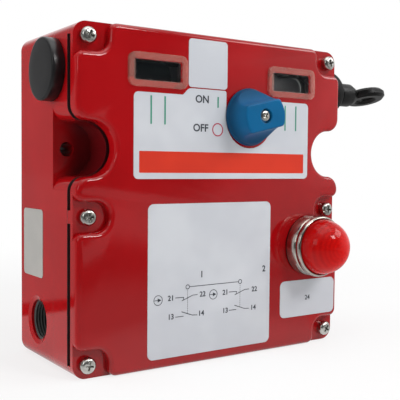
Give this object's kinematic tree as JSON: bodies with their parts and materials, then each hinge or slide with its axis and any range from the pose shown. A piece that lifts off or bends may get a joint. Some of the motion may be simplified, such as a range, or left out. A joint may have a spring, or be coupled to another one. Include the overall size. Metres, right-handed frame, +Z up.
{
  "type": "rope pull safety switch",
  "caption": "Cable-operated emergency stop switch in a red metal case with a pull eye, boot, blue reset knob, two windows and a red pilot lamp.",
  "frame": {"origin": "centre of the flat back face that goes against the machine", "axes": "+X to the right along the pull shaft, -Y out of the front cover, +Z up"},
  "size_m": [0.2271, 0.0961, 0.162],
  "materials": {
    "red_paint": "semi-gloss enamel",
    "black_rubber": "matt",
    "plated_steel": "zinc plated",
    "window_clear": "clear moulding",
    "black_plastic": "satin",
    "zinc_casting": "as cast",
    "grey_plastic": "satin",
    "brass": "turned",
    "sheet_steel": "zinc plated",
    "cream_plastic": "moulded",
    "chrome": "polished",
    "lens_red": "polished",
    "led_plastic": "clear",
    "green_paint": "enamel",
    "spring_steel": "oiled",
    "knob_blue": "moulded"
  },
  "bodies": {
    "housing": {"housing_base": "red_paint", "cover": "red_paint", "cover_gasket": "black_rubber", "cover_screws": "plated_steel", "screw_washers": "plated_steel", "left_window": "window_clear", "right_window": "window_clear", "cable_cap": "black_plastic", "cap_nut": "plated_steel", "left_stem": "plated_steel", "left_cam": "zinc_casting", "left_indicator": "grey_plastic", "shaft_bushing": "plated_steel", "bushing_clip": "plated_steel", "boot": "black_rubber", "chassis_plate": "sheet_steel", "chassis_posts": "plated_steel", "chassis_screws": "plated_steel", "left_switch": "black_plastic", "right_switch": "black_plastic", "left_plunger": "cream_plastic", "switch_screws": "plated_steel", "terminal_screws": "brass", "knob_bushing": "brass", "knob_nut": "plated_steel", "spindle_seal": "black_rubber", "lamp_gasket": "black_rubber", "lamp_bezel": "chrome", "lamp_lens": "lens_red", "lamp_body": "black_plastic", "lamp_nut": "plated_steel", "lamp_led": "led_plastic", "ground_screw": "green_paint", "latch_posts": "plated_steel", "pull_spring": "spring_steel", "spring_sleeve": "black_plastic"},
    "pull_unit": {"pull_shaft": "plated_steel", "pull_eye": "black_plastic", "cam_block": "zinc_casting", "cam_pin": "plated_steel", "right_indicator": "grey_plastic", "drum_clip": "plated_steel"},
    "contact_plunger": {"right_plunger": "cream_plastic"},
    "knob_unit": {"reset_knob": "knob_blue", "knob_screw": "plated_steel", "knob_spindle": "plated_steel", "reset_cam": "zinc_casting"},
    "latch": {"latch_slide": "sheet_steel"}
  },
  "joints": [
    {"name": "cable_pull", "type": "slide", "parent": "housing", "child": "pull_unit", "axis": [1, 0, 0], "range_m": [0, 0.022], "stiffness_N_per_m": 2000, "springref_m": -0.02, "deforming": ["pull_spring"]},
    {"name": "plunger_travel", "type": "slide", "parent": "housing", "child": "contact_plunger", "axis": [0, 0, -1], "range_m": [0, 0.0026]},
    {"name": "knob_turn", "type": "hinge", "parent": "housing", "child": "knob_unit", "pos_m": [0.015, -0.0705, 0.0417], "axis": [0, 1, 0], "range_deg": [0, 32]},
    {"name": "latch_travel", "type": "slide", "parent": "housing", "child": "latch", "axis": [0, 0, -1], "range_m": [0, 0.0034]}
  ],
  "couplings": [
    {"joint": "plunger_travel", "follows": "cable_pull", "ratio": 0.11818},
    {"joint": "latch_travel", "follows": "knob_turn", "m_per_rad": 0.005925}
  ]
}
